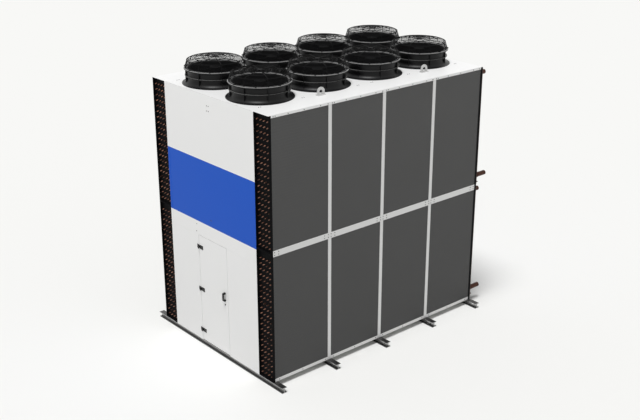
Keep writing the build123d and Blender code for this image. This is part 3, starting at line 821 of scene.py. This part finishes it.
def hairpin(bend):
    """One round hairpin bend standing along Z on the XY plane, its legs along X."""
    bm = bmesh.new()
    drop = bend.reach - bend.tube_r - bend.pitch / 2
    lift = Matrix.Translation((-bend.pitch / 2, 0, drop))
    ring = bmesh.ops.create_circle(bm, segments=TUBE_SIDES, radius=bend.tube_r, matrix=lift)["verts"]
    edges = list({edge for vert in ring for edge in vert.link_edges})
    bmesh.ops.spin(
        bm, geom=ring + edges, cent=(0, 0, drop), axis=(0, 1, 0), angle=pi, steps=BEND_STEPS,
        use_merge=False,
    )
    bmesh.ops.recalc_face_normals(bm, faces=bm.faces)
    return as_pattern(bm)


def coil_middle(side):
    """Middle of one coil across the width."""
    low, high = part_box(f"end_trays_{side}")
    return (low.x + high.x) / 2


def front_bends(side, bend):
    """Rows and columns of bends on the two front trays of one side."""
    first = coil_middle(side) - (bend.columns - 1) / 2 * bend.column
    slope = Matrix.Rotation(bend.tilt, 4, "Z")
    places = []
    for foot in TRAY_FEET:
        for row in range(bend.rows):
            for column in range(bend.columns):
                point = (first + column * bend.column, FRONT_PLATE, foot + bend.first + row * bend.row)
                places.append(facing(point, (0, -1, 0)) @ slope)
    return places


def rear_bends(side, bend):
    """One column of upright bends between the two headers of each rear tray."""
    upright = Matrix.Rotation(pi / 2, 4, "Z")
    places = []
    for foot in TRAY_FEET:
        for row in range(bend.rows):
            point = (coil_middle(side), -FRONT_PLATE, foot + bend.first + row * bend.row)
            places.append(facing(point, (0, 1, 0)) @ upright)
    return places


def feeder_places(side, bend):
    """Every tube that runs from a rear tray into its header."""
    places = []
    for foot in TRAY_FEET:
        for step in (-bend.header_step, bend.header_step):
            for tube in range(2 * bend.rows):
                height = foot + bend.first + tube * bend.row / 2
                places.append(facing((coil_middle(side) + step, -FRONT_PLATE, height), (0, 1, 0)))
    return places


def feeder(bend):
    """One short straight tube standing on the XY plane."""
    bm = bmesh.new()
    bmesh.ops.create_cone(
        bm, cap_ends=False, segments=TUBE_SIDES, radius1=bend.tube_r, radius2=bend.tube_r,
        depth=bend.feeder, matrix=Matrix.Translation((0, 0, bend.feeder / 2)),
    )
    return as_pattern(bm)


class COOLER_OT_bends(bpy.types.Operator):
    """Add the round copper hairpin bends and the feeders of the coil ends"""

    bl_idname = "cooler.bends"
    bl_label = "Add Return Bends"

    def execute(self, context):
        bend = settings().bend
        finish = settings().finish
        copper = copper_tube("bend_copper", finish.copper, finish.tarnish, brazed_and_shaded=True)
        bend_shape = hairpin(bend)
        feeder_shape = feeder(bend)
        for side in SIDES:
            bm = bmesh.new()
            stamp(bm, bend_shape, front_bends(side, bend))
            piece = finish_piece(f"hairpin_bends_{side}", bm, copper, crease=TUBE_CREASE)
            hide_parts(f"return_bends_{side}")
            bm = bmesh.new()
            stamp(bm, bend_shape, rear_bends(side, bend))
            stamp(bm, feeder_shape, feeder_places(side, bend))
            finish_piece(f"rear_tubes_{side}", bm, copper, crease=TUBE_CREASE)
        bpy.data.meshes.remove(bend_shape)
        bpy.data.meshes.remove(feeder_shape)
        return {"FINISHED"}


def nozzle_section(nozzle):
    """Loop of the nozzle wall: curved mouth, throat, rim, waist flange and flared skirt."""
    flange_low = nozzle.waist_h - nozzle.flange_t / 2
    flange_high = nozzle.waist_h + nozzle.flange_t / 2
    flange_r = nozzle.waist_r + nozzle.flange
    mouth_radii = (nozzle.mouth_r - nozzle.throat_r, nozzle.mouth_h)
    mouth = arc((nozzle.mouth_r, nozzle.mouth_h), mouth_radii, 270, 180, MOUTH_STEPS)
    rim = [
        (nozzle.throat_r, nozzle.rim_h - nozzle.chamfer), (nozzle.throat_r + nozzle.chamfer, nozzle.rim_h),
        (nozzle.rim_r, nozzle.rim_h), (nozzle.rim_r, nozzle.rim_h - nozzle.rim_t),
        (nozzle.shoulder_r, nozzle.rim_h - 2 * nozzle.rim_t), (nozzle.waist_r, flange_high),
        (flange_r, flange_high), (flange_r, flange_low),
    ]
    skirt = arc_through(
        (nozzle.waist_r, flange_low), (nozzle.skirt_r, nozzle.skirt_h),
        (nozzle.base_r - nozzle.lip, nozzle.lip), SKIRT_STEPS,
    )
    foot = [(nozzle.base_r, nozzle.lip), (nozzle.base_r, 0.0)]
    return mouth + rim + skirt + foot


def nozzle_ribs(bm, nozzle):
    """Upright ribs round the nozzle, between the skirt and the rim."""
    inner = nozzle.throat_r + nozzle.lip
    outer = nozzle.waist_r + nozzle.flange
    high = nozzle.rim_h - nozzle.rim_t
    size = Matrix.Diagonal((outer - inner, nozzle.rib_t, high - nozzle.lip, 1.0))
    shift = Matrix.Translation(((outer + inner) / 2, 0, (high + nozzle.lip) / 2))
    for index in range(nozzle.ribs):
        turn = Matrix.Rotation((index + 0.5) * 2 * pi / nozzle.ribs, 4, "Z")
        bmesh.ops.create_cube(bm, size=1.0, matrix=turn @ shift @ size)


def nozzle_pattern(nozzle):
    """One moulded nozzle with softened edges, its axis on Z and its foot at zero."""
    bm = bmesh.new()
    sweep_ring(bm, nozzle_section(nozzle), NOZZLE_STEPS)
    bmesh.ops.recalc_face_normals(bm, faces=bm.faces)
    crease = radians(MOULD_CREASE)
    sharp = [edge for edge in bm.edges if edge.is_manifold and edge.calc_face_angle() > crease]
    round_edges(bm, sharp, nozzle.edge)
    nozzle_ribs(bm, nozzle)
    return as_pattern(bm)


class COOLER_OT_nozzles(bpy.types.Operator):
    """Add the moulded fan nozzles with their ribs"""

    bl_idname = "cooler.nozzles"
    bl_label = "Add Fan Nozzles"

    def execute(self, context):
        pattern = nozzle_pattern(settings().nozzle)
        plastic = nozzle_black()
        for side in SIDES:
            bm = bmesh.new()
            stamp(bm, pattern, [Matrix.Translation(place) for place in FAN_PLACES[side]])
            piece = finish_piece(f"nozzle_mouldings_{side}", bm, plastic)
            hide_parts(f"fan_nozzles_{side}")
        bpy.data.meshes.remove(pattern)
        return {"FINISHED"}


def guard_rings(guard, rim_h):
    """Radius and height of every ring wire of one guard, from the rim to the hub."""
    shoulder_r = guard.ring_r - guard.lean
    shoulder_h = rim_h + guard.rise
    edge = (shoulder_r - guard.turn, shoulder_h + guard.turn_rise)
    hub = (guard.hub_r, shoulder_h + guard.crown)
    corners = [(guard.ring_r, rim_h), (shoulder_r, shoulder_h), edge, hub]
    counts = (guard.side_rings, guard.turn_rings, guard.top_rings + 1)
    rings = []
    for (r0, h0), (r1, h1), steps in zip(corners, corners[1:], counts):
        for i in range(1, steps + 1):
            share = i / steps
            rings.append((r0 + (r1 - r0) * share, h0 + (h1 - h0) * share))
    # The hub itself takes the place of the last ring
    return rings[:-1]


def guard_clips(bm, guard, rim_h):
    """Clips that hold the guard's ring down on the rim, half-way between the spokes."""
    size = Matrix.Diagonal((guard.clip_l, guard.clip_w, guard.clip_h, 1.0))
    shift = Matrix.Translation((guard.ring_r - guard.clip_l / 4, 0, rim_h + guard.clip_h / 2))
    for index in range(CLIPS):
        turn = Matrix.Rotation(index * 2 * pi / CLIPS, 4, "Z")
        made = bmesh.ops.create_cube(bm, size=1.0, matrix=turn @ shift @ size)["verts"]
        edges = list({edge for vert in made for edge in vert.link_edges})
        round_edges(bm, edges, guard.clip_edge)


class COOLER_OT_guards(bpy.types.Operator):
    """Add the fine ring wires and the clips of the fan guards"""

    bl_idname = "cooler.guards"
    bl_label = "Add Guard Wires"

    def execute(self, context):
        guard = settings().guard
        wire = guard_wire()
        bm = bmesh.new()
        rim_h = RIM_TOP - ROOF_TOP
        for radius, height in guard_rings(guard, rim_h):
            sweep_ring(bm, wire_section(radius, height, guard.wire_r), GUARD_STEPS)
        guard_clips(bm, guard, rim_h)
        pattern = as_pattern(bm)
        for side in SIDES:
            bm = bmesh.new()
            stamp(bm, pattern, [Matrix.Translation(place) for place in FAN_PLACES[side]])
            finish_piece(f"guard_rings_{side}", bm, wire, crease=TUBE_CREASE)
            dress(wire, f"fan_guards_{side}")
        bpy.data.meshes.remove(pattern)
        return {"FINISHED"}


class COOLER_OT_fans(bpy.types.Operator):
    """Finish the impellers and motors"""

    bl_idname = "cooler.fans"
    bl_label = "Dress Fans"

    def execute(self, context):
        rotors = [node for node in frame["nodes"] if node.startswith("fan_rotor")]
        dress(dull_black(), *rotors, "fan_motors_left", "fan_motors_right")
        return {"FINISHED"}


class COOLER_OT_door(bpy.types.Operator):
    """Finish the door, its hinges and its handle"""

    bl_idname = "cooler.door"
    bl_label = "Dress Door"

    def execute(self, context):
        dress(banded_coat(), "door_leaf")
        soften(SHEET_ROUND, "door_leaf")
        fittings = ["door_hinge_plates", "door_hinge_leaves", "door_handle"]
        dress(gloss_black(), *fittings)
        soften(FITTING_ROUND, *fittings)
        return {"FINISHED"}


def screw_head(screw):
    """One flanged hexagon screw head standing on the XY plane."""
    bm = bmesh.new()
    flange_h = screw.head_h * FLANGE_HEIGHT
    hex_h = screw.head_h - flange_h
    bmesh.ops.create_cone(
        bm, cap_ends=True, segments=FLANGE_SIDES, radius1=screw.head_r, radius2=screw.head_r * FLANGE_TOP,
        depth=flange_h, matrix=Matrix.Translation((0, 0, flange_h / 2)),
    )
    bmesh.ops.create_cone(
        bm, cap_ends=True, segments=6, radius1=screw.head_r * HEX_FOOT, radius2=screw.head_r * HEX_TOP,
        depth=hex_h, matrix=Matrix.Translation((0, 0, flange_h + hex_h / 2)),
    )
    return as_pattern(bm)


def rail_screws(screw):
    """Screws on the long sides: upright pairs on the mid rails, single rows on the other strips."""
    mid = sum(MID_RAIL_Z) / 2
    rows = [
        (RAIL_FACE, mid - screw.pair / 2, MID_RAIL_STEPS),
        (RAIL_FACE, mid + screw.pair / 2, MID_RAIL_STEPS),
        (RAIL_FACE, sum(BOTTOM_RAIL_Z) / 2, BOTTOM_RAIL_STEPS),
        (ROOF_EDGE, ROOF_TOP - screw.edge_drop, ROOF_EDGE_STEPS),
    ]
    places = []
    for side in SIDES.values():
        for bay in range(BAYS):
            for face, height, steps in rows:
                for step in steps:
                    point = (side * face, FIN_FRONT + bay * BAY + step, height)
                    places.append(facing(point, (side, 0, 0)))
    return places


def roof_screws(screw):
    """Screw pairs along both edges of the roof, before and behind each fan."""
    places = []
    for side in SIDES.values():
        for bay in range(BAYS):
            for step in ROOF_STEPS:
                point = (side * screw.roof_x, FIN_FRONT + bay * BAY + step, ROOF_TOP)
                places.append(facing(point, (0, 0, 1)))
    return places


def front_screws():
    """The few single screws on the front wall."""
    return [facing((x, FRONT_FACE, z), (0, -1, 0)) for x, z in FRONT_DOTS]


def hinge_screws(screw, node, end):
    """Two screws near one end of every hinge plate of a node, end being 0 for left and 1 for right."""
    low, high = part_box(node)
    across = high.x - screw.hinge_inset if end else low.x + screw.hinge_inset
    first = low.z + screw.hinge_h / 2
    pitch = (high.z - low.z - screw.hinge_h) / (HINGES - 1)
    size = Matrix.Scale(screw.hinge_scale, 4)
    places = []
    for hinge in range(HINGES):
        for lift in (-screw.hinge_h / 4, screw.hinge_h / 4):
            point = (across, FRONT_FACE - screw.hinge_t, first + hinge * pitch + lift)
            places.append(facing(point, (0, -1, 0)) @ size)
    return places


class COOLER_OT_screws(bpy.types.Operator):
    """Add the screws of rails, roof edge, roof, front wall and hinges"""

    bl_idname = "cooler.screws"
    bl_label = "Add Screws"

    def execute(self, context):
        screw = settings().screw
        zinc = screw_zinc()
        pattern = screw_head(screw)
        fixed_hinges = hinge_screws(screw, "door_hinge_plates", 0)
        groups = {
            "rail_screws": ("housing", rail_screws(screw)),
            "roof_screws": ("housing", roof_screws(screw)),
            "front_screws": ("housing", front_screws() + fixed_hinges),
            "door_screws": ("door", hinge_screws(screw, "door_hinge_leaves", 1)),
        }
        for name, (body, places) in groups.items():
            bm = bmesh.new()
            stamp(bm, pattern, places)
            finish_piece(name, bm, zinc, body, crease=SCREW_CREASE)
        bpy.data.meshes.remove(pattern)
        return {"FINISHED"}


def stage_floor(stage):
    """Large pale floor under the unit."""
    bm = bmesh.new()
    bmesh.ops.create_grid(bm, x_segments=1, y_segments=1, size=stage.floor_size / 2)
    mesh = bpy.data.meshes.new("floor")
    bm.to_mesh(mesh)
    bm.free()
    pale = rgba(stage.floor)
    material = new_finish("stage_floor", Base_Color=pale, Roughness=1.0, Specular_IOR_Level=0.0)[0]
    mesh.materials.append(material)
    floor = bpy.data.objects.new("floor", mesh)
    bpy.context.scene.collection.objects.link(floor)


def stage_world(stage):
    """Even light from all round. Camera, gloss and glass see the pale surroundings instead."""
    world = bpy.data.worlds.new("studio")
    bpy.context.scene.world = world
    world.use_nodes = True
    tree = world.node_tree
    lamp = tree.nodes["Background"]
    lamp.inputs["Strength"].default_value = stage.sky_light
    lamp.inputs["Color"].default_value = (1, 1, 1, 1)
    seen = add_node(tree, "ShaderNodeBackground", {"Color": rgba(stage.sky), "Strength": 1.0})
    path = add_node(tree, "ShaderNodeLightPath").outputs
    clear = calc(tree, "MAXIMUM", path["Is Camera Ray"], path["Is Glossy Ray"])
    clear = calc(tree, "MAXIMUM", clear, path["Is Transmission Ray"])
    mix = add_node(tree, "ShaderNodeMixShader", {0: clear, 1: lamp.outputs[0], 2: seen.outputs[0]})
    tree.links.new(mix.outputs[0], tree.nodes["World Output"].inputs["Surface"])


def stage_sun(stage):
    """Soft light from above the front and the right side."""
    lamp = bpy.data.lights.new("soft_sun", "SUN")
    lamp.energy = stage.sun_light
    lamp.angle = stage.sun_size
    sun = bpy.data.objects.new("soft_sun", lamp)
    sun.rotation_euler = Vector(stage.sun_way).to_track_quat("-Z", "Y").to_euler()
    bpy.context.scene.collection.objects.link(sun)


def stage_camera(stage):
    """Camera at the photograph's viewing angle."""
    data = bpy.data.cameras.new("camera")
    data.lens = stage.lens
    data.sensor_width = 36.0
    data.clip_end = 1000.0
    camera = bpy.data.objects.new("camera", data)
    camera.location = stage.eye
    camera.rotation_euler = (pi / 2 - stage.drop, 0.0, stage.yaw)
    bpy.context.scene.collection.objects.link(camera)
    bpy.context.scene.camera = camera


class COOLER_OT_stage(bpy.types.Operator):
    """Set up the floor, the light and the camera"""

    bl_idname = "cooler.stage"
    bl_label = "Set Up Stage"

    def execute(self, context):
        stage = settings().stage
        stage_floor(stage)
        stage_world(stage)
        stage_sun(stage)
        stage_camera(stage)
        context.scene.view_settings.view_transform = "Standard"
        return {"FINISHED"}


OPERATORS = (
    COOLER_OT_stage, COOLER_OT_walls, COOLER_OT_frames, COOLER_OT_roof, COOLER_OT_base, COOLER_OT_coils,
    COOLER_OT_bends, COOLER_OT_nozzles, COOLER_OT_guards, COOLER_OT_fans, COOLER_OT_door, COOLER_OT_screws,
)


class CoolerSettings(bpy.types.PropertyGroup):
    """All settings of the dressing."""

    finish: PointerProperty(type=FinishSettings)
    band: PointerProperty(type=BandSettings)
    guard: PointerProperty(type=GuardSettings)
    nozzle: PointerProperty(type=NozzleSettings)
    bend: PointerProperty(type=BendSettings)
    screw: PointerProperty(type=ScrewSettings)
    stage: PointerProperty(type=StageSettings)


class COOLER_PT_panel(bpy.types.Panel):
    """Sidebar list of the dressing steps"""

    bl_idname = "COOLER_PT_panel"
    bl_label = "Dry Cooler"
    bl_space_type = "VIEW_3D"
    bl_region_type = "UI"
    bl_category = "Dry Cooler"

    def draw(self, context):
        for step in OPERATORS:
            self.layout.operator(step.bl_idname)


CLASSES = (
    FinishSettings, BandSettings, GuardSettings, NozzleSettings, BendSettings, ScrewSettings, StageSettings,
    CoolerSettings, *OPERATORS, COOLER_PT_panel,
)


def register():
    """Make the classes known and hang the settings on the scene."""
    for cls in CLASSES:
        bpy.utils.register_class(cls)
    bpy.types.Scene.dry_cooler = PointerProperty(type=CoolerSettings)


def unregister():
    """Take back what register did."""
    del bpy.types.Scene.dry_cooler
    for cls in reversed(CLASSES):
        bpy.utils.unregister_class(cls)


def main():
    """Dress the part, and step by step."""
    register()
    for step in OPERATORS:
        getattr(bpy.ops.cooler, step.bl_idname.removeprefix("cooler."))()


if __name__ == "__main__":
    main()
